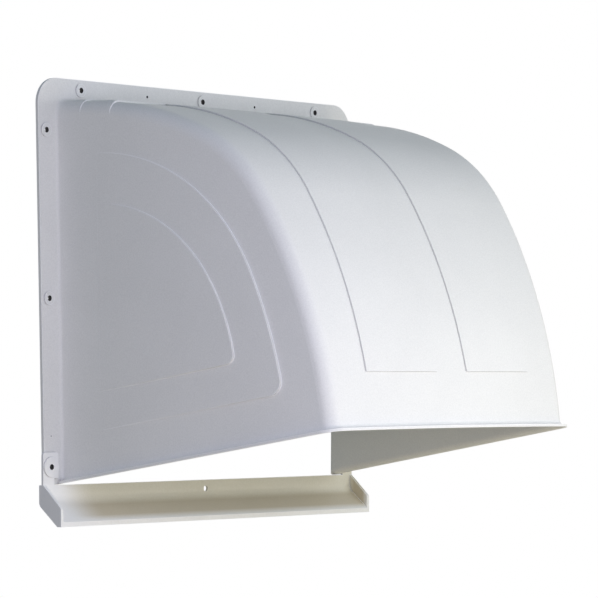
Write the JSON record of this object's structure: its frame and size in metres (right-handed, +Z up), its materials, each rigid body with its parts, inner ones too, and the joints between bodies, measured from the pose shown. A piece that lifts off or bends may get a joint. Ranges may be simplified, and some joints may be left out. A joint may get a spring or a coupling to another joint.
{
  "type": "vent weather cover",
  "caption": "Moulded wall hood with a curved roof and a screw flange, open at the back and bottom, with a separate drip tray fixed below it.",
  "frame": {"origin": "on the wall face of the flange, on the axis of the middle screw hole of the top row", "axes": "+Z up, +Y into the wall, the hood stands out towards -Y, +X to the right as seen from the front"},
  "size_m": [0.5688, 0.4122, 0.5279],
  "materials": {
    "hood_plastic": "matte, light grey-white",
    "tray_plastic": "satin, cream white"
  },
  "bodies": {
    "root": {"hood_shell": "hood_plastic", "drip_tray": "tray_plastic"}
  },
  "joints": []
}
